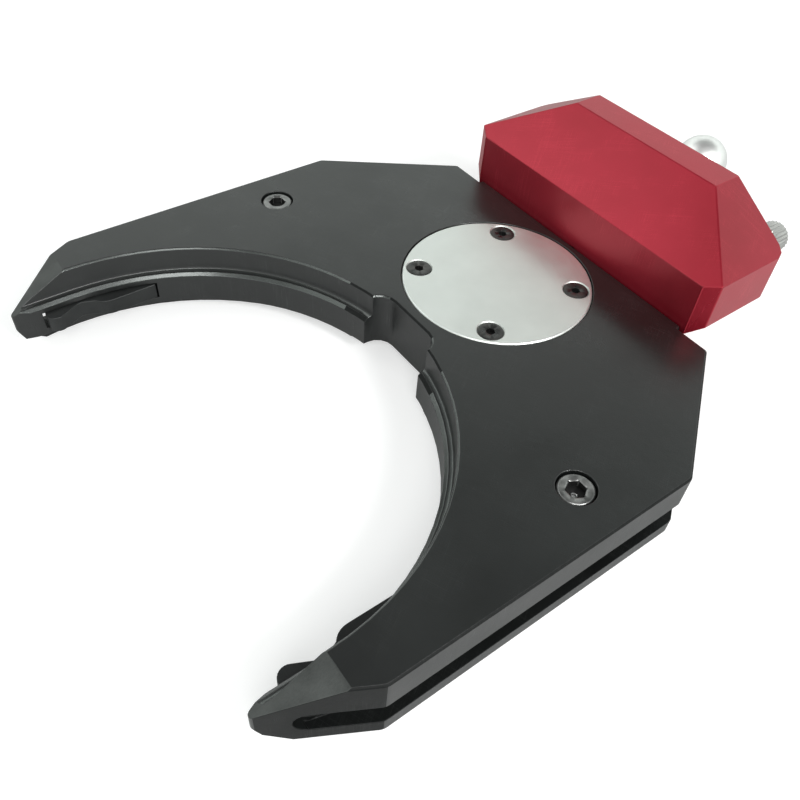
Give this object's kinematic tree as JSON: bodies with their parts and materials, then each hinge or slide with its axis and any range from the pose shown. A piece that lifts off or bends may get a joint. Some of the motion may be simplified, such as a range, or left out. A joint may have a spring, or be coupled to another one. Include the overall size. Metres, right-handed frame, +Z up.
{
  "type": "pneumatic gripper",
  "caption": "Angular pneumatic gripper: a flat forked yoke with a round jaw, two swinging fingers, a round cover plate, and a bolted-on cylinder housing with an air elbow.",
  "frame": {"origin": "on the cover disc's axis, at the underside of the yoke", "axes": "the jaw opens towards -Y, the housing is at +Y, +Z goes up from the underside through the cover disc"},
  "size_m": [0.174, 0.2104, 0.0552],
  "materials": {
    "black_anodised": "fine bead blasted and black anodised, satin",
    "red_anodised": "red anodised, satin",
    "brushed_aluminium": "fine brushed, clear anodised",
    "black_oxide": "black oxide, lightly oiled",
    "finger_steel": "ground and blackened",
    "bright_steel": "ground bright",
    "nickel": "nickel plated, polished",
    "bronze": "sintered",
    "rubber": "matt",
    "black_plastic": "moulded, matt",
    "magnet": "sintered, matt"
  },
  "bodies": {
    "yoke": {"yoke_body": "black_anodised", "cover_disc": "brushed_aluminium", "cover_screw_1": "black_oxide", "cover_screw_2": "black_oxide", "cover_screw_3": "black_oxide", "cover_screw_4": "black_oxide", "pivot_screw_left": "black_oxide", "pivot_screw_right": "black_oxide", "rod_bush": "bronze", "rod_seal": "rubber", "seal_plate": "black_anodised", "cylinder_housing": "red_anodised", "housing_screw_1": "black_oxide", "housing_screw_2": "black_oxide", "housing_screw_3": "black_oxide", "housing_screw_4": "black_oxide", "dowel_pin_left": "bright_steel", "dowel_pin_right": "bright_steel", "position_sensor_left": "black_plastic", "position_sensor_right": "black_plastic", "elbow_stem": "nickel", "sensor_socket": "nickel", "vent_filter": "bronze", "return_spring": "bright_steel"},
    "drive": {"crosshead": "bright_steel", "piston_rod": "bright_steel", "piston": "brushed_aluminium", "piston_seal": "rubber", "piston_magnet": "magnet", "piston_nut": "bright_steel"},
    "elbow": {"elbow_body": "nickel"},
    "collet": {"release_collet": "black_plastic"},
    "ring": {"knurled_ring": "nickel"},
    "left_finger": {"finger_left": "finger_steel", "pivot_bush_left": "bronze", "tail_pin_left": "bright_steel"},
    "left_roller": {"tail_roller_left": "bright_steel"},
    "right_finger": {"finger_right": "finger_steel", "pivot_bush_right": "bronze", "tail_pin_right": "bright_steel"},
    "right_roller": {"tail_roller_right": "bright_steel"}
  },
  "joints": [
    {"name": "piston_slide", "type": "slide", "parent": "yoke", "child": "drive", "axis": [0, -1, 0], "range_m": [0, 0.004], "stiffness_N_per_m": 2500, "springref_m": -0.006, "deforming": ["return_spring"]},
    {"name": "left_finger_pivot", "type": "hinge", "parent": "yoke", "child": "left_finger", "pos_m": [-0.07255, -0.03655, 0.01], "axis": [0, 0, -1], "range_deg": [0, 3.8]},
    {"name": "left_roller_spin", "type": "hinge", "parent": "left_finger", "child": "left_roller", "pos_m": [-0.012, 0.001, 0.0163], "axis": [0, 0, 1], "continuous": true},
    {"name": "right_finger_pivot", "type": "hinge", "parent": "yoke", "child": "right_finger", "pos_m": [0.07255, -0.03655, 0.01], "axis": [0, 0, 1], "range_deg": [0, 3.8]},
    {"name": "right_roller_spin", "type": "hinge", "parent": "right_finger", "child": "right_roller", "pos_m": [0.012, 0.001, 0.0163], "axis": [0, 0, 1], "continuous": true},
    {"name": "elbow_swivel", "type": "hinge", "parent": "yoke", "child": "elbow", "pos_m": [0.01, 0.074, 0.047], "axis": [0, 1, 0], "continuous": true},
    {"name": "collet_push", "type": "slide", "parent": "elbow", "child": "collet", "axis": [0, 0, 1], "range_m": [0, 0.0015], "stiffness_N_per_m": 800, "springref_m": -0.0015},
    {"name": "ring_turn", "type": "hinge", "parent": "yoke", "child": "ring", "pos_m": [0.0441, 0.0685, 0.0399], "axis": [0, 1, 0], "continuous": true}
  ],
  "couplings": [
    {"joint": "left_finger_pivot", "follows": "piston_slide", "rad_per_m": 16.515},
    {"joint": "right_finger_pivot", "follows": "piston_slide", "rad_per_m": 16.515}
  ]
}
